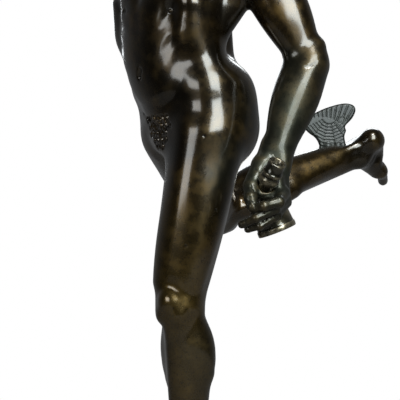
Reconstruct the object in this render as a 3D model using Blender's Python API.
"""A bronze statue of a striding messenger god on a low turned socle, in metres.

The figure stands on its left toes with its right leg thrown back. It is worked out in millimetres of a
figure 893 mm high: x to the right, y away and z up, seen from the front, with the ground at height nothing.
The ground, its mound and the socle then take their real sizes from the values below.
"""
import math

import bmesh
import bpy
import numpy as np
from mathutils import Matrix

FIGURE_HEIGHT = 0.850
SOCLE_HEIGHT = 0.046
SOCLE_RADIUS = 0.105
SOCLE_TOP_RADIUS = 0.064
SOCLE_FOOT_HEIGHT = 0.010
SOCLE_LIP_HEIGHT = 0.007
SOCLE_NECK_RADIUS = 0.070
REST_GAP = 0.0003
HANDLE_GRIP_RADIUS = 0.0062
HANDLE_RING_RADIUS = 0.0099
HANDLE_TUBE_RADIUS = 0.0084
HANDLE_BELL_RADIUS = 0.0185
HANDLE_BORE_RADIUS = 0.0052
HANDLE_CLEARANCE = 0.0007
FIGURE_TRIANGLES = 7700
SKIN_STEP = 1.9
HANDLE_SIDES = 14

DRAWN_HEIGHT = 893.0
UNIT = FIGURE_HEIGHT / DRAWN_HEIGHT


FAR = 1.0e3


def vec(*values):
    return np.array(values, float)


def unit(v):
    v = np.asarray(v, float)
    return v / np.linalg.norm(v)


def square(v, axis):
    """The part of v at right angles to axis, as a unit vector."""
    return unit(v - np.dot(v, axis) * axis)


class Oval:
    """An ellipsoid: centre, three unit axes as rows, and a radius along each."""

    def __init__(self, centre, axes, radii, soft=0.0, cut=False):
        self.centre, self.axes = np.asarray(centre, float), np.asarray(axes, float)
        self.radii = np.asarray(radii, float)
        self.soft, self.cut = soft, cut
        self.reach = self.radii.max()

    def field(self, points):
        scaled = (points - self.centre) @ self.axes.T / self.radii
        k0 = np.linalg.norm(scaled, axis=1) + 1e-9
        normal = scaled / self.radii
        k1 = np.linalg.norm(normal, axis=1) + 1e-9
        return k0 * (k0 - 1) / k1, (normal / k1[:, None]) @ self.axes

    def seed(self, bm):
        for v in bmesh.ops.create_icosphere(bm, subdivisions=3, radius=1.0)["verts"]:
            v.co = self.centre + (np.array(v.co) * self.radii) @ self.axes


class Limb:
    """A tapered round bar from a to b, swelling at its middle, and thinner along flat if that is given."""

    def __init__(self, a, b, ra, rb, swell=0.0, flat=None, thin=1.0, soft=0.0, cut=False):
        self.a, self.b = np.asarray(a, float), np.asarray(b, float)
        self.ra, self.rb, self.swell, self.thin = ra, rb, swell, thin
        self.soft, self.cut = soft, cut
        along = self.b - self.a
        self.flat = None if flat is None else square(np.asarray(flat, float), unit(along))
        self.centre = (self.a + self.b) / 2
        self.reach = np.linalg.norm(along) / 2 + max(ra, rb) + max(swell, 0)

    def field(self, points):
        along = self.b - self.a
        q = points - self.a
        t = np.clip(q @ along / (along @ along), 0, 1)
        q = q - t[:, None] * along
        r = self.ra + (self.rb - self.ra) * t + self.swell * 4 * t * (1 - t)
        if self.flat is None:
            size = np.linalg.norm(q, axis=1) + 1e-9
            return size - r, q / size[:, None]
        more = 1 / self.thin - 1
        q = q + (more * (q @ self.flat))[:, None] * self.flat
        size = np.linalg.norm(q, axis=1) + 1e-9
        g = (q + (more * (q @ self.flat))[:, None] * self.flat) / size[:, None]
        steep = np.linalg.norm(g, axis=1) + 1e-9
        return (size - r) / steep, g / steep[:, None]

    def seed(self, bm):
        up = unit(self.b - self.a)
        flat = self.flat if self.flat is not None else square(vec(0.31, 0.52, 0.79), up)
        side = np.cross(up, flat)
        for v in bmesh.ops.create_icosphere(bm, subdivisions=3, radius=1.0)["verts"]:
            c = np.array(v.co)
            end, r = (self.b, self.rb) if c[2] > 0 else (self.a, self.ra)
            v.co = end + r * (c[0] * side + c[1] * flat * self.thin + c[2] * up)


class Stroke:
    """A soft-edged line from a to b that is carved that deep, or raised where the depth is negative."""

    def __init__(self, a, b, width, depth):
        self.a, self.b, self.width, self.depth = np.asarray(a, float), np.asarray(b, float), width, depth
        self.centre = (self.a + self.b) / 2
        self.reach = np.linalg.norm(self.b - self.a) / 2 + 2.2 * width
        self.soft, self.cut = 0.0, True

    def press(self, points):
        along = self.b - self.a
        q = points - self.a
        t = np.clip(q @ along / max(along @ along, 1e-9), 0, 1)
        q = q - t[:, None] * along
        amount = self.depth * np.exp(-(q * q).sum(1) / self.width ** 2)
        return amount, (-2 * amount / self.width ** 2)[:, None] * q


class Plane:
    """A flat cut: what lies beyond it, along its normal, is taken away."""

    def __init__(self, point, normal):
        self.point, self.normal = np.asarray(point, float), unit(normal)
        self.soft, self.cut = 0.0, True
        self.centre, self.reach = self.point, FAR

    def field(self, points):
        return -((points - self.point) @ self.normal), np.tile(-self.normal, (len(points), 1))


def rounded(outline, steps):
    """The closed outline with that many points for each of its own, on a smooth curve through them."""
    p = np.array(outline, float)
    before, after, beyond = np.roll(p, 1, axis=0), np.roll(p, -1, axis=0), np.roll(p, -2, axis=0)
    curve = []
    for t in np.arange(steps) / steps:
        curve.append(0.5 * (2 * p + (after - before) * t + (2 * before - 5 * p + 4 * after - beyond) * t ** 2
                            + (3 * p - before - 3 * after + beyond) * t ** 3))
    return np.stack(curve, axis=1).reshape(-1, 2)


class Plate:
    """A flat plate with a rounded edge; its outline's points are measured across and up from its root."""

    def __init__(self, root, across, up, outline, thick, soft=0.0):
        self.root, self.outline, self.thick = np.asarray(root, float), outline, thick
        self.rows = np.array([across, up, np.cross(across, up)])
        self.soft, self.cut = soft, False
        middle = outline.mean(0)
        self.centre = self.root + middle @ self.rows[:2]
        self.reach = np.linalg.norm(outline - middle, axis=1).max() + thick

    def field(self, points):
        local = (points - self.root) @ self.rows.T
        flat, off = local[:, :2], local[:, 2]
        near, toward = np.full(len(points), FAR), np.zeros((len(points), 2))
        inside = np.zeros(len(points), bool)
        for a, b in zip(self.outline, np.roll(self.outline, -1, axis=0)):
            edge = b - a
            q = flat - a
            q = q - np.clip(q @ edge / (edge @ edge), 0, 1)[:, None] * edge
            gap = np.linalg.norm(q, axis=1)
            closer = gap < near
            near[closer], toward[closer] = gap[closer], q[closer]
            if abs(edge[1]) > 1e-9:
                level = (a[1] > flat[:, 1]) != (b[1] > flat[:, 1])
                inside ^= level & (flat[:, 0] < a[0] + edge[0] * (flat[:, 1] - a[1]) / edge[1])
        side = np.where(inside, -1.0, 1.0)
        over = np.maximum(side * near + self.thick, 0)
        size = np.hypot(over, off) + 1e-9
        slope = toward * (side * over / (near + 1e-9) / size)[:, None]
        return size - self.thick, np.column_stack([slope, off / size]) @ self.rows

    def seed(self, bm):
        middle = self.outline.mean(0)
        flat = self.root + ((self.outline - middle) * 0.95 + middle) @ self.rows[:2]
        faces = []
        for off in (-0.8, 0.8):
            faces.append([bm.verts.new(p + off * self.thick * self.rows[2]) for p in flat])
        bm.faces.new(faces[0][::-1])
        bm.faces.new(faces[1])
        for i in range(len(self.outline)):
            j = (i + 1) % len(self.outline)
            bm.faces.new([faces[0][i], faces[0][j], faces[1][j], faces[1][i]])


CELL = 45.0


class Form:
    """Solids blended into one another in order, each by its own softness."""

    def __init__(self, parts):
        self.parts = parts
        self.centres = np.array([p.centre for p in parts])
        self.reaches = np.array([p.reach + p.soft + 4.0 for p in parts])

    def field(self, points):
        d = np.empty(len(points))
        g = np.empty((len(points), 3))
        keys = np.floor(points / CELL).astype(int)
        keys -= keys.min(0)
        code = (keys[:, 0] * 4096 + keys[:, 1]) * 4096 + keys[:, 2]
        order = np.argsort(code, kind="stable")
        edges = np.flatnonzero(np.diff(code[order])) + 1
        for some in np.split(order, edges):
            here = points[some]
            middle = (here.min(0) + here.max(0)) / 2
            half = (here.max(0) - here.min(0)) / 2
            away = np.linalg.norm(np.maximum(np.abs(self.centres - middle) - half, 0), axis=1)
            near = [p for p, gap, reach in zip(self.parts, away, self.reaches) if gap < reach]
            d[some], g[some] = self.blend(near, here)
        return d, g

    def blend(self, near, points):
        d = np.full(len(points), FAR)
        g = np.zeros((len(points), 3))
        for part in near:
            if isinstance(part, Stroke):
                amount, slope = part.press(points)
                d, g = d + amount, g + slope
                continue
            dn, gn = part.field(points)
            k = max(part.soft, 1e-6)
            way = -1.0 if part.cut else 1.0
            h = np.clip(0.5 + way * 0.5 * (d - way * dn) / k, 0, 1)
            d = d * (1 - h) + way * dn * h - way * k * h * (1 - h)
            g = g * (1 - h)[:, None] + way * gn * h[:, None]
        return d, g

    def seed(self, bm):
        for part in self.parts:
            if not part.cut:
                part.seed(bm)


def points_of(mesh):
    co = np.empty(len(mesh.vertices) * 3, np.float32)
    mesh.vertices.foreach_get("co", co)
    return co.reshape(-1, 3).astype(float)


def settle(mesh, form, rounds, most=3.0):
    """Moves each point of the mesh onto the form's surface."""
    points = points_of(mesh)
    for _ in range(rounds):
        d, g = form.field(points)
        size = np.linalg.norm(g, axis=1) + 1e-6
        points -= (np.clip(d / size, -most, most) / size)[:, None] * g
    mesh.vertices.foreach_set("co", points.astype(np.float32).ravel())
    mesh.update()
    return mesh


def changed(mesh, kind, **values):
    """The mesh as a modifier of that kind leaves it."""
    obj = bpy.data.objects.new("wrap", mesh)
    bpy.context.scene.collection.objects.link(obj)
    modifier = obj.modifiers.new("wrap", kind)
    for name, value in values.items():
        setattr(modifier, name, value)
    graph = bpy.context.evaluated_depsgraph_get()
    made = bpy.data.meshes.new_from_object(obj.evaluated_get(graph))
    bpy.data.objects.remove(obj)
    return made


def skin(form, voxel, rounds=4):
    """A closed mesh of the form's surface, in even quads of that size."""
    bm = bmesh.new()
    form.seed(bm)
    mesh = bpy.data.meshes.new("seed")
    bm.to_mesh(mesh)
    bm.free()
    rough = settle(changed(mesh, "REMESH", mode="VOXEL", voxel_size=voxel), form, rounds)
    return settle(changed(rough, "REMESH", mode="VOXEL", voxel_size=voxel), form, rounds)


UP = vec(0, 0, 1)


def facing(degrees, lift=0.0):
    """A level direction turned that far from straight at the viewer towards the left, then lifted."""
    a, b = math.radians(degrees), math.radians(lift)
    return vec(-math.sin(a) * math.cos(b), -math.cos(a) * math.cos(b), math.sin(b))


class Place:
    """A spot with its own side, front and up; the up measure counts in spans."""

    def __init__(self, origin, side, front, up, span=1.0):
        self.origin, self.span = np.asarray(origin, float), span
        self.side, self.front, self.up = side, front, up

    def at(self, s, f, u):
        return self.origin + s * self.side + f * self.front + u * self.span * self.up

    def oval(self, s, f, u, rs, rf, ru, soft=5.0, cut=False, roll=0.0, nod=0.0):
        side, front, up = self.side, self.front, self.up
        if roll:
            c, q = math.cos(math.radians(roll)), math.sin(math.radians(roll))
            side, up = c * side + q * up, c * up - q * side
        if nod:
            c, q = math.cos(math.radians(nod)), math.sin(math.radians(nod))
            front, up = c * front + q * up, c * up - q * front
        return Oval(self.at(s, f, u), np.array([side, front, up]), (rs, rf, ru), soft, cut)

    def bar(self, a, b, ra, rb, swell=0.0, soft=5.0, thin=1.0, flat=None, cut=False):
        axis = None
        if flat is not None:
            axis = flat[0] * self.side + flat[1] * self.front + flat[2] * self.up
        return Limb(self.at(*a), self.at(*b), ra, rb, swell, axis, thin, soft, cut)


def trunk_place(origin, turn, lean=0.0, tip=0.0):
    """A level place facing turn degrees left, leaned back and tipped to its own left."""
    front = facing(turn)
    side = vec(math.cos(math.radians(turn)), -math.sin(math.radians(turn)), 0)
    a = math.radians(lean)
    up = math.cos(a) * UP - math.sin(a) * front
    front = math.cos(a) * front + math.sin(a) * UP
    b = math.radians(tip)
    side, up = math.cos(b) * side - math.sin(b) * up, math.cos(b) * up + math.sin(b) * side
    return Place(origin, side, front, up)


def limb_place(a, b, front, out):
    """From joint a down to joint b, with side pointing outward: out is 1 on the left, -1 on the right."""
    down = unit(b - a)
    front = square(front, down)
    return Place(a, np.cross(front, down) * out, front, down, np.linalg.norm(b - a))


# joints
PELVIS = trunk_place(vec(20, 2, 398), 56, 4, -3)
CHEST = trunk_place(vec(5, 2, 525), 50, 9, 2)
HIP_L, KNEE_L, ANKLE_L = vec(38, -25, 392), vec(10, -26, 222), vec(17, -4, 62)
HIP_R, KNEE_R, ANKLE_R = vec(9, 29, 396), vec(48, 172, 312), vec(200, 225, 375)
SHOULDER_L, ELBOW_L, WRIST_L = vec(82, -40, 572), vec(138, -38, 461), vec(105, -71, 364)
SHOULDER_R, ELBOW_R, WRIST_R = vec(-16, 42, 592), vec(-62, 34, 703), vec(-62, 12, 806)
NECK = vec(28, 4, 602)
HEAD = vec(22, 2, 652)


def torso():
    c, p = CHEST, PELVIS
    parts = [
        c.oval(0, 0, 14, 66, 48, 72, soft=10),
        c.oval(0, 0, -50, 50, 40, 50, soft=18),
        p.oval(0, 3, 38, 58, 43, 44, soft=18),
        p.oval(0, -2, 4, 56, 40, 38, soft=12),
    ]
    for k, shoulder in ((-1, SHOULDER_R), (1, SHOULDER_L)):
        lift = 12 if k < 0 else 0
        parts += [
            c.oval(k * 29, 33, 14 + lift, 33, 17, 24 + lift * 0.4, soft=14, roll=k * 14),
            Limb(c.at(k * 26, 36, 26 + lift), shoulder + 10 * c.front - 8 * UP, 14, 11, 1, soft=14),
            Limb(c.at(k * 40, -14, -46), shoulder - 8 * c.front - 16 * UP, 12, 12, 5 - 3 * k, soft=16),
            c.oval(k * 38, -35, 32, 27, 11, 34, soft=16, roll=-k * 12),
            Limb(c.at(k * 8, -26, 84), shoulder - 4 * c.front + 8 * UP, 15, 11, 1, soft=14),
            Limb(c.at(k * 8, 30, 60), shoulder + 4 * c.front + 13 * UP, 6, 5, soft=9),
            Limb(c.at(k * 16, -36, 34), p.at(k * 15, -28, 44), 11, 13, 0, soft=16),
        ]
        for i in range(4):
            parts.append(c.oval(k * (55 - 3 * i), 17 - 4 * i, -8 - 13 * i, 9, 14, 7, soft=17, roll=k * 28))
        parts += [
            Limb(c.at(k * 41, 4, -36), p.at(k * 42, 8, 42), 16, 20, 0, soft=22),
            p.oval(k * 43, 4, 38, 18, 29, 20, soft=16, roll=-k * 14),
            p.oval(k * 27, -31, 0, 30, 27, 36, soft=22, roll=k * 10),
            p.oval(k * 30, -22, 36, 26, 24, 24, soft=20),
            p.oval(k * 43.5 - 2.5, k * 2 - 8, 11, 22 + 2 * k, 29.5 + 3.5 * k, 34 + 4 * k, soft=22),
        ]
        for i in range(4):
            t = i / 3
            middle = (1 - t) * c.at(k * 14, 37, -18) + t * p.at(k * 12, 40, 46)
            parts.append(Oval(middle, np.array([c.side, c.front, c.up]), (15, 5, 12), soft=15))
    parts += [
        p.oval(0, 22.5, 50, 35, 24, 40, soft=24),
        p.oval(0, 27, -12, 17, 11, 16, soft=10),
        c.oval(-50, 20, 34, 15, 20, 24, soft=14),
        Stroke(c.at(0, 50, 44), c.at(0, 48, 0), 8, 2.6),
        Stroke(c.at(0, 44, -12), p.at(0, 50, 58), 7, 1.2),
        Stroke(c.at(0, -50, 62), p.at(0, -46, 44), 8, 5),
        Stroke(p.at(0, -60, 26), p.at(0, -52, -36), 6, 9),
        Stroke(p.at(0, 50, 46), p.at(0, 51, 45), 3.2, 4.5),
    ]
    return parts


def leg(hip, knee, ankle, front, shin_front, out):
    t, s = limb_place(hip, knee, front, out), limb_place(knee, ankle, shin_front, out)
    parts = [
        t.bar((0, 0, 0.02), (0, 0, 1), 33, 21, 2, soft=20),
        t.bar((0, 15, 0.04), (-1, 13, 0.8), 19, 11, 5, soft=16),
        t.bar((15, 1, 0.1), (12, 8, 0.86), 20, 11, 5, soft=10),
        t.bar((12, 8, 0.42), (9, 10, 0.8), 13, 10, 3, soft=6),
        t.bar((-10, 11, 0.36), (-12, 9, 0.88), 14, 15, 3, soft=10),
        t.bar((-14, 2, 0.06), (-9, 0, 0.62), 22, 13, 3, soft=12),
        t.bar((9, -13, 0.1), (11, -11, 0.97), 18, 6, 3, soft=8),
        t.bar((-7, -13, 0.14), (-11, -11, 0.98), 18, 6, 3, soft=8),
        s.oval(0, 1, 0.0, 22, 22, 22, soft=10),
        s.oval(0, 20, -0.03, 10, 7, 0.075 * 160, soft=5),
        s.oval(-8, 15, 0.06, 8, 8, 9, soft=7),
        s.oval(8, 15, 0.06, 8, 8, 9, soft=7),
        s.bar((0, 17, 0.08), (0, 15, 0.17), 5, 5, soft=6),
        s.bar((0, 0, 0.05), (0, -1, 1.0), 16, 14, soft=8),
        s.bar((-2, 11, 0.12), (-3, 6, 0.95), 8, 7, soft=5),
        s.bar((6, 7, 0.12), (4, 4, 0.8), 10, 6, 3, soft=7),
        s.bar((12, -1, 0.1), (8, -4, 0.8), 8, 5, 2, soft=7),
        s.bar((10, -8, 0.08), (12, -14, 0.43), 9.5, 13, 6, soft=10),
        s.bar((-11, -7, 0.08), (-14, -11, 0.46), 10, 13, 5, soft=10),
        s.bar((-11, -12, 0.4), (-5, -12, 0.84), 12, 6, 1, soft=10),
        s.bar((9, -13, 0.38), (5, -12, 0.84), 12, 6, 1, soft=10),
        s.bar((0, -10, 0.3), (0, -10, 0.8), 17, 9, 3, soft=10),
        s.bar((-3, -13, 0.5), (-1, -15, 1.06), 7, 5.5, soft=4),
        s.oval(-10, 1, 0.985, 7, 8, 8, soft=5),
        s.oval(10, -2, 1.01, 6.5, 7, 8, soft=5),
    ]
    return parts


def foot(ankle, along, sole, toe_along, toe_sole, out, size=0.93):
    along = unit(along)
    sole = square(sole, along)
    side = np.cross(along, sole) * out
    f = Place(ankle, side, along, sole)

    def at(a, d, w):
        return ankle + size * (a * along + d * sole + w * side)

    ball = at(44, 24, 0)
    toe_along = unit(toe_along)
    toe_sole = square(toe_sole, toe_along)
    toe_side = square(side, toe_along)

    def toe(a, d, w):
        return ball + size * (a * toe_along + d * toe_sole + w * toe_side)

    z = size
    axes = np.array([along, sole, side])
    toe_axes = np.array([toe_along, toe_sole, toe_side])
    parts = [
        Limb(at(-2, -2, 0), at(-12, 16, 0), 13 * z, 12 * z, soft=8),
        Oval(at(-16, 21, 0), axes, (13 * z, 13 * z, 12 * z), 8),
        Limb(at(-8, 26, -2), at(20, 26, -2), 8 * z, 7 * z, soft=8),
        Limb(at(0, 4, 0), at(38, 18, 0), 14 * z, 9 * z, soft=8),
        Limb(at(6, 0, -3), at(46, 18, -7), 10 * z, 7 * z, soft=7),
        Limb(at(-8, 24, 7), at(42, 25, 11), 9 * z, 7 * z, soft=7),
        Limb(at(24, 19, -7), at(44, 22, -10), 7 * z, 8 * z, soft=7),
        Oval(at(45, 24, -9), axes, (11 * z, 8 * z, 10 * z), 5),
        Oval(at(42, 25, 8), axes, (11 * z, 7 * z, 10 * z), 5),
        Limb(toe(2, 1, -12), toe(27, 3, -10), 6.5 * z, 6.2 * z, soft=3),
    ]
    for w, reach, r in ((-2.5, 25, 4.9), (4.5, 21, 4.6), (10.5, 16, 4.3), (16, 10, 4.1)):
        start = min(2, reach - 12)
        parts += [Limb(toe(start - 4, 0, w * 0.92), toe(reach * 0.6, -1.5, w), r * z, r * 0.9 * z, soft=2.5),
                  Limb(toe(reach * 0.6, -1.5, w), toe(reach, 4.5, w), r * 0.95 * z, r * 0.95 * z, soft=1.5)]
    return parts


def arm(shoulder, elbow, wrist, front, fore_front, out):
    """The upper arm and forearm; front is the biceps side, fore_front the palm side of the forearm."""
    a, f = limb_place(shoulder, elbow, front, out), limb_place(elbow, wrist, fore_front, out)
    parts = [
        a.bar((0, 0, 0), (0, 0, 1), 20, 17, soft=9),
        a.bar((5, 0, -0.03), (4, 0, 0.38), 22, 11, 3, soft=10),
        a.bar((-1, 11, -0.02), (2, 5, 0.36), 14, 10, 1, soft=10),
        a.bar((2, -11, -0.02), (3, -3, 0.36), 14, 10, 1, soft=10),
        a.bar((-9, 6, 0.1), (-6, 5, 0.84), 16, 11, 5, soft=8),
        a.bar((-2, 9, 0.2), (-1, 9, 0.86), 12, 9, 5, soft=7),
        a.bar((2, -9, 0.18), (1, -9, 0.82), 14, 9, 4, soft=7),
        a.bar((-6, -7, 0.2), (-6, -6, 0.86), 11, 8, 3, soft=7),
        a.bar((10, -4, 0.26), (7, -3, 0.84), 12, 9, 6, soft=9),
        f.oval(0, -8, -0.02, 11, 9, 11, soft=6),
        f.oval(-12, -2, 0.0, 7, 7, 8, soft=5),
        f.oval(12, -2, 0.0, 7, 7, 8, soft=5),
        f.bar((0, 0, 0), (0, 0, 1), 16, 12, soft=9),
        f.bar((8, 4, -0.14), (5, 2, 0.62), 8, 7, 6, soft=9),
        f.bar((-8, 3, 0.02), (-3, 3, 0.66), 10, 7, 5, soft=9),
        f.bar((-6, 8, 0.06), (0, 6, 0.9), 12, 8.5, 6, soft=12),
        f.bar((4, -8, 0.04), (2, -7, 0.7), 10, 7, 5, soft=9),
        f.bar((-4, -8, 0.04), (-4, -6, 0.8), 9, 6, 4, soft=9),
        f.bar((-6, 0, 0.9), (6, 0, 1.0), 9, 9, soft=7, thin=0.8, flat=(0, 1, 0)),
        f.oval(-8, -6, 0.93, 5, 5, 6, soft=5),
    ]
    return parts


def finger(points, radii, soft=2.5):
    """A finger through its joints, with slight swellings at the knuckles and a fuller tip."""
    parts = []
    for i in range(len(points) - 1):
        ease = soft if i == 0 else 1.2
        parts.append(Limb(points[i], points[i + 1], radii[i], radii[i + 1], -0.4, soft=ease))
    return parts


def spot(across, down, deep):
    """The point seen at that place in a view from three metres in front, deep millimetres away."""
    far = 1 + deep / 3000
    return vec(30 + (across - 200) * far, deep, 325 + (200 - down) * far)


HANDLE_PATH = [spot(278, 162, -112), spot(270.5, 176.5, -103), spot(263, 191, -94), spot(262.5, 200, -86),
               spot(267, 209, -78), spot(272, 217, -73), spot(277.5, 231, -72)]


def handle_stations():
    """Shares of the way from the handle's open top to the rim below the fist, each with its radius."""
    grip, ring, tube, bell = HANDLE_GRIP_RADIUS, HANDLE_RING_RADIUS, HANDLE_TUBE_RADIUS, HANDLE_BELL_RADIUS
    return [(0.00, tube * 0.96), (0.03, tube), (0.13, tube), (0.145, ring * 0.96), (0.18, ring * 0.96),
            (0.195, tube * 1.04), (0.215, ring * 0.96), (0.25, ring), (0.29, ring * 0.92),
            (0.315, grip * 1.25), (0.42, grip), (0.52, grip), (0.60, grip * 1.15), (0.64, bell * 0.6),
            (0.69, bell * 0.88), (0.80, bell * 0.93), (0.93, bell * 0.95), (0.945, bell), (1.00, bell)]


def handle_point(share):
    """The drawn point that far along the handle's path, by straight steps."""
    marks = np.cumsum([0] + [np.linalg.norm(b - a) for a, b in zip(HANDLE_PATH, HANDLE_PATH[1:])])
    columns = np.array(HANDLE_PATH).T
    return np.array([np.interp(share * marks[-1], marks, column) for column in columns])


def handle_place(share):
    """The same with the corners of the path rounded."""
    near = [min(max(share + step, 0.0), 1.0) for step in (-0.06, -0.03, 0.0, 0.03, 0.06)]
    whole = sum(handle_point(place) for place in near) / len(near)
    return whole if 0.06 < share < 0.94 else handle_point(share)


def handle_heading(share):
    return unit(handle_point(min(share + 0.09, 1.0)) - handle_point(max(share - 0.09, 0.0)))


def left_hand():
    level = np.eye(3)
    parts = [
        Limb(spot(270, 146, -66), spot(264, 165, -76), 9, 10, soft=9),
        Limb(spot(284, 146, -62), spot(279, 167, -73), 9, 9.5, soft=9),
        Limb(spot(279, 167, -73), spot(281, 196, -80), 9, 9.5, soft=7),
        Oval(spot(268, 184, -74), level, (15, 12, 19), 7),
        Limb(spot(262, 166, -79), spot(252, 186, -93), 10.5, 9, soft=7),
        Limb(spot(254, 192, -97), spot(275, 197, -95), 5.5, 6, soft=6),
        Limb(spot(277, 178, -88), spot(279, 194, -92), 6, 7, soft=7),
    ]
    index = [(283, 193, -90), (279, 202, -110), (264, 206, -116), (257, 208, -111)]
    middle = [(284, 199, -82), (275, 209, -105), (256, 218, -109), (242, 224.5, -101)]
    ring = [(285.5, 202, -74), (277, 215.5, -99), (260, 226, -102), (248, 229, -95)]
    little = [(280, 206, -56), (264, 217, -42), (247, 227, -52), (234, 230, -62)]
    radii = (7, 5.8, 5.2, 4.7), (7, 5.4, 4.7, 4.2), (6.4, 4.6, 4.2, 4), (6, 5, 4.3, 3.8)
    for points, sizes in zip((index, middle, ring, little), radii):
        parts += finger([spot(*point) for point in points], sizes)
    parts += finger([spot(251, 188, -96), spot(250.5, 198, -106), spot(252.5, 206.5, -109)], (8, 6.6, 5.8))
    return parts


def right_hand():
    h = limb_place(WRIST_R, WRIST_R + vec(4, -12, 76), vec(-0.6, -0.8, -0.1), -1)
    h.span = 1.0
    at = h.at
    parts = [
        h.bar((2, 0, 0), (3, 0, 30), 11, 14, soft=6, thin=0.7, flat=(0, 1, 0)),
        h.oval(0, 0, 24, 17, 8.5, 20, soft=6),
        h.bar((10, 5, 8), (18, 7, 24), 8, 7, soft=5),
        h.bar((-11, 4, 8), (-13, 4, 30), 7, 6, soft=5),
    ]
    parts += finger([at(14, 6, 14), at(24, 9, 30), at(26, 12, 43), at(24, 15, 52)], (7.5, 6.2, 5.5, 4.8))
    parts += finger([at(13, 0, 38), at(14, 1, 58), at(13.5, 2, 69), at(13, 3, 77)], (6.6, 5.4, 4.9, 4.4))
    parts += finger([at(4.5, 0, 40), at(5, 9, 61), at(4, 22, 56), at(4, 24, 45)], (6.6, 5.5, 5, 4.5))
    parts += finger([at(-4, 0, 39), at(-5, 10, 57), at(-5, 22, 50), at(-4, 22, 40)], (6.4, 5.3, 4.8, 4.4))
    parts += finger([at(-12, 0, 36), at(-14, 9, 50), at(-14, 18, 43), at(-12, 18, 35)], (5.8, 4.7, 4.3, 4.0))
    return parts


WING_VANES, WING_ROWS = 10, 4
FEATHER_CUT_WIDTH, FEATHER_CUT_DEPTH = 1.5, 0.9
WING_OUTLINE = [(-13.5, -5), (-13.5, 7), (-17, 15), (-24, 21), (-27.5, 27), (-25.5, 34), (-18, 39),
                (-8, 43.5), (4, 47), (15, 48.5), (23, 46.5), (25.5, 41), (21.5, 33), (14, 25.5), (14.6, 21),
                (12.5, 15), (13.5, 6), (14.5, -5)]


def wing(root, across, up, size=1.0):
    """A small rounded wing on a short stem, with its feathers carved on both faces."""
    across = unit(across)
    up = square(up, across)
    w = Place(root, across, np.cross(across, up), up)
    parts = [Plate(root, across, up, rounded(WING_OUTLINE, 3) * size, 2.7 * size, 3.0 * size),
             w.bar((-6 * size, 0, -6), (-5 * size, 0, 6 * size), 6 * size, 3.4 * size, soft=4),
             w.bar((6 * size, 0, -6), (5 * size, 0, 6 * size), 6 * size, 3.4 * size, soft=4)]
    return parts + feathers(w, size)


def feathers(w, size):
    """Long vanes fanned over the upper half and rows of small scales under them, cut into both faces."""
    cuts = []

    def cut(marks):
        for face in (-2.7, 2.7):
            points = [w.at(p * size, face * size, q * size) for p, q in marks]
            cuts.extend(Stroke(a, b, FEATHER_CUT_WIDTH * size, FEATHER_CUT_DEPTH * size)
                        for a, b in zip(points, points[1:]))

    for i in range(WING_VANES):
        a = math.radians(38 + 95 * i / WING_VANES)
        near, far = 30 + 12 * i / WING_VANES, 54 - 6 * i / WING_VANES
        cut([(-6 + r * math.cos(a), -1 + r * math.sin(a)) for r in (near, (near + far) / 2, far)])
    for k in range(WING_ROWS):
        r = 7 + 26 * (k + 0.5) / WING_ROWS
        angles = [math.radians(a) for a in range(205, 350, 24)]
        cut([(-2 + r * math.cos(a), 36 + r * math.sin(a)) for a in angles])
    return cuts


def head():
    front = facing(72, 22)
    side = unit(np.cross(UP, front))
    up = np.cross(front, side)
    h = Place(HEAD, side, front, up)
    parts = [
        h.oval(0, -6, 8, 27, 33, 30, soft=6),
        h.oval(0, 9, -8, 22, 23, 31, soft=7),
        h.oval(0, 13, -26, 16, 15, 12, soft=6),
        h.oval(0, 25, -33, 7, 6, 6.5, soft=5),
        h.bar((-11, 26, 7), (11, 26, 7), 4.2, 4.2, soft=4),
        h.bar((0, 29, 4), (0, 37, -10), 2.8, 3.8, soft=3),
        h.oval(-3.2, 34, -11, 2.6, 3, 2.4, soft=1.6),
        h.oval(3.2, 34, -11, 2.6, 3, 2.4, soft=1.6),
        h.oval(-13, 20, -8, 8, 8, 9, soft=6),
        h.oval(13, 20, -8, 8, 8, 9, soft=6),
        h.oval(-9.5, 33, 0, 6.4, 5, 4.2, soft=3, cut=True),
        h.oval(9.5, 33, 0, 6.4, 5, 4.2, soft=3, cut=True),
        h.oval(-9.2, 25.6, -0.4, 5.6, 5.2, 5.2, soft=1),
        h.oval(9.2, 25.6, -0.4, 5.6, 5.2, 5.2, soft=1),
        h.bar((-6, 29.6, -19), (6, 29.6, -19), 2.4, 2.4, 0.8, soft=2),
        h.bar((-4.6, 29.2, -22.6), (4.6, 29.2, -22.6), 2.4, 2.4, 0.8, soft=2),
    ]
    for k in (-1, 1):
        parts.append(h.oval(k * 26.5, -4, -6, 3.2, 6.5, 9.5, soft=2, nod=-12))
    hat = [
        h.oval(0, -6, 22, 33, 37, 22, soft=2),
        h.oval(0, -4, 20, 43, 49, 4.2, soft=4, nod=6),
    ]
    curls = []
    for i in range(22):
        a = math.radians(38 + i * (284 / 21))
        for j, low in enumerate((12, 2, -8, -17)):
            b = a + (0.11 if j % 2 else 0)
            if j >= 1 and abs(i - 10.5) > 8.6 - 0.6 * j:
                continue
            wide = 27 - 1.2 * j
            deep = -6 + (33 - 2.5 * j) * math.cos(b)
            curls.append(h.oval(wide * math.sin(b), deep, low, 5.4, 5.4, 5.0, soft=1.2))
    parts += curls + hat
    return parts, h


def hat_wings(h):
    return [wing(h.at(k * 37, -8, 24), -1.0 * h.front + 0.25 * k * h.side, h.up + 0.35 * k * h.side, 0.72)
            for k in (-1, 1)]


def ankle_wings():
    return [wing(spot(333, 152, 218), vec(1, 0.1, 0.05), vec(0.0, 0.1, 1), 1.07),
            wing(ANKLE_L + vec(17, -2, 2), vec(0.35, 0.6, 0.6), vec(0.6, -0.2, 0.8), 0.9)]


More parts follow.
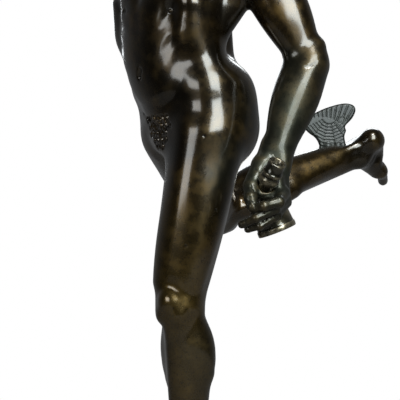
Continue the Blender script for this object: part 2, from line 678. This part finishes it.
def neck_parts(h):
    parts = [Limb(NECK, h.at(0, -8, -16), 23, 18, soft=10)]
    c = CHEST
    for k in (-1, 1):
        parts.append(Limb(h.at(k * 20, -10, -16), c.at(k * 6, 29, 62), 6, 5, soft=6))
    parts.append(Limb(h.at(0, 4, -26), c.at(0, 24, 66), 9, 8, soft=8))
    return parts


def figure():
    parts = torso()
    parts += leg(HIP_L, KNEE_L, ANKLE_L, facing(34), facing(36), 1)
    parts += leg(HIP_R, KNEE_R, ANKLE_R, vec(-0.82, -0.11, -0.56), vec(-0.03, 0.76, -0.65), -1)
    toes_l, toes_r = facing(48), vec(0.08, 0.84, -0.53)
    parts += foot(ANKLE_L, vec(-0.478, -0.430, -0.766), vec(0.569, 0.512, -0.643), toes_l, -UP, 1)
    parts += foot(ANKLE_R, toes_r, vec(0.86, 0.24, 0.42), toes_r, vec(0.82, 0.2, 0.5), -1, 0.88)
    parts += arm(SHOULDER_L, ELBOW_L, WRIST_L, facing(44), vec(-0.72, -0.65, -0.15), 1)
    parts += arm(SHOULDER_R, ELBOW_R, WRIST_R, vec(-0.1, -0.95, 0.2), vec(-0.5, -0.8, 0), -1)
    heads, h = head()
    parts += neck_parts(h) + heads + left_hand() + right_hand()
    for one in hat_wings(h) + ankle_wings():
        parts += one
    parts += [
        Oval(vec(2, -18, -4), np.eye(3), (46, 40, 9), 3),
        Oval(vec(14, -2, -6), np.eye(3), (40, 34, 10), 5),
        Plane(vec(0, 0, -9), vec(0, 0, -1)),
    ]
    return Form(parts)


MOUND_BOTTOM = -9.0
SOCLE_CENTRE = vec(10, -6, MOUND_BOTTOM)


def placed(point):
    """A drawn point, in metres from the middle of the socle's underside."""
    level = SOCLE_HEIGHT + REST_GAP
    return (np.asarray(point, float) - SOCLE_CENTRE) * UNIT + vec(0, 0, level)


def material(name, colour, roughness, metallic):
    made = bpy.data.materials.new(name)
    made.use_nodes = True
    shader = made.node_tree.nodes["Principled BSDF"]
    shader.inputs["Base Color"].default_value = (*colour, 1.0)
    shader.inputs["Roughness"].default_value = roughness
    shader.inputs["Metallic"].default_value = metallic
    return made


def add_object(name, mesh, finish):
    obj = bpy.data.objects.new(name, mesh)
    bpy.context.scene.collection.objects.link(obj)
    mesh.materials.clear()
    mesh.materials.append(finish)
    mesh.shade_smooth()
    return obj


def biggest_body(mesh):
    """The mesh with only its largest connected piece kept, and no loose or crossing shreds."""
    bm = bmesh.new()
    bm.from_mesh(mesh)
    left = set(bm.verts)
    bodies = []
    while left:
        first = left.pop()
        group, front = {first}, [first]
        while front:
            for edge in front.pop().link_edges:
                for v in edge.verts:
                    if v in left:
                        left.discard(v)
                        group.add(v)
                        front.append(v)
        bodies.append(group)
    bodies.sort(key=len)
    shreds = [v for group in bodies[:-1] for v in group]
    bmesh.ops.delete(bm, geom=shreds, context="VERTS")
    bmesh.ops.triangulate(bm, faces=bm.faces)
    bm.to_mesh(mesh)
    bm.free()
    return mesh


def make_figure(finish):
    form = figure()
    fine = biggest_body(skin(form, SKIN_STEP))
    share = FIGURE_TRIANGLES / len(fine.polygons)
    light = biggest_body(changed(fine, "DECIMATE", ratio=share, use_collapse_triangulate=True))
    settle(light, form, 1, 0.6)
    points = placed(points_of(light))
    points[:, 2] = np.maximum(points[:, 2], SOCLE_HEIGHT + REST_GAP)
    light.vertices.foreach_set("co", points.astype(np.float32).ravel())
    light.update()
    return add_object("mercury_figure", light, finish)


def turned_handle(stations):
    """A closed bar turned round the handle's bending axis, one ring of points for each station."""
    bm = bmesh.new()
    side, loops = vec(1, 0, 0), []
    for share, radius in stations:
        ahead = handle_heading(share)
        side = square(side, ahead)
        turn = np.eye(4)
        turn[:3, 0], turn[:3, 1], turn[:3, 2] = side, np.cross(ahead, side), ahead
        turn[:3, 3] = placed(handle_place(share))
        made = bmesh.ops.create_circle(bm, segments=HANDLE_SIDES, radius=radius, matrix=Matrix(turn.tolist()))
        loops.append(list({edge for v in made["verts"] for edge in v.link_edges}))
    for first, second in zip(loops, loops[1:]):
        bmesh.ops.bridge_loops(bm, edges=first + second)
    for loop in (loops[0], loops[-1]):
        bmesh.ops.edgeloop_fill(bm, edges=loop)
    bmesh.ops.recalc_face_normals(bm, faces=bm.faces)
    mesh = bpy.data.meshes.new("staff_handle")
    bm.to_mesh(mesh)
    bm.free()
    return mesh


def make_handle(finish):
    """A bored tube, two rings, a grip and a hollow bell."""
    bore, bell = HANDLE_BORE_RADIUS, HANDLE_BELL_RADIUS
    inside_top, inside_bell = [(0.07, bore), (0.0, bore)], [(1.0, bell * 0.84), (0.9, bell * 0.6)]
    mesh = turned_handle(inside_top + handle_stations() + inside_bell)
    return add_object("staff_handle", mesh, finish)


def cut_handle_room(body):
    """Clears the hand round the handle, all the way through the fist."""
    room = [(share, radius + HANDLE_CLEARANCE) for share, radius in handle_stations()]
    cutter = bpy.data.objects.new("handle_room", turned_handle(room))
    bpy.context.scene.collection.objects.link(cutter)
    cutter.hide_render = True
    cutter.display_type = "WIRE"
    cut = body.modifiers.new("handle room", "BOOLEAN")
    cut.operation = "DIFFERENCE"
    cut.solver = "EXACT"
    cut.object = cutter


def make_socle(finish):
    foot, lip = SOCLE_FOOT_HEIGHT, SOCLE_LIP_HEIGHT
    profile = [(0.0, 0.0), (SOCLE_RADIUS, 0.0), (SOCLE_RADIUS, foot)]
    rise = SOCLE_HEIGHT - foot - lip
    for i in range(9):
        a = math.pi / 2 * i / 8
        wide = SOCLE_NECK_RADIUS + (SOCLE_RADIUS * 0.955 - SOCLE_NECK_RADIUS) * (1 - math.sin(a))
        profile.append((wide, foot + rise * (1 - math.cos(a))))
    edge = SOCLE_TOP_RADIUS * 1.16
    profile += [(edge, SOCLE_HEIGHT - lip), (edge, SOCLE_HEIGHT - lip * 0.35),
                (SOCLE_TOP_RADIUS * 1.12, SOCLE_HEIGHT), (0.0, SOCLE_HEIGHT)]
    bm = bmesh.new()
    verts = [bm.verts.new((x, 0, z)) for x, z in profile]
    edges = [bm.edges.new(pair) for pair in zip(verts, verts[1:])]
    bmesh.ops.spin(bm, geom=verts + edges, cent=(0, 0, 0), axis=(0, 0, 1), angle=math.tau, steps=36,
                   use_merge=True)
    bmesh.ops.remove_doubles(bm, verts=bm.verts, dist=0.00005)
    bmesh.ops.recalc_face_normals(bm, faces=bm.faces)
    mesh = bpy.data.meshes.new("socle")
    bm.to_mesh(mesh)
    bm.free()
    return add_object("socle", mesh, finish)


def build():
    for obj in list(bpy.data.objects):
        bpy.data.objects.remove(obj)
    patina = material("dark patina", (0.030, 0.021, 0.012), 0.24, 0.75)
    worn = material("worn bronze", (0.060, 0.050, 0.030), 0.28, 0.80)
    cut_handle_room(make_figure(patina))
    make_handle(worn)
    make_socle(patina.copy())


build()
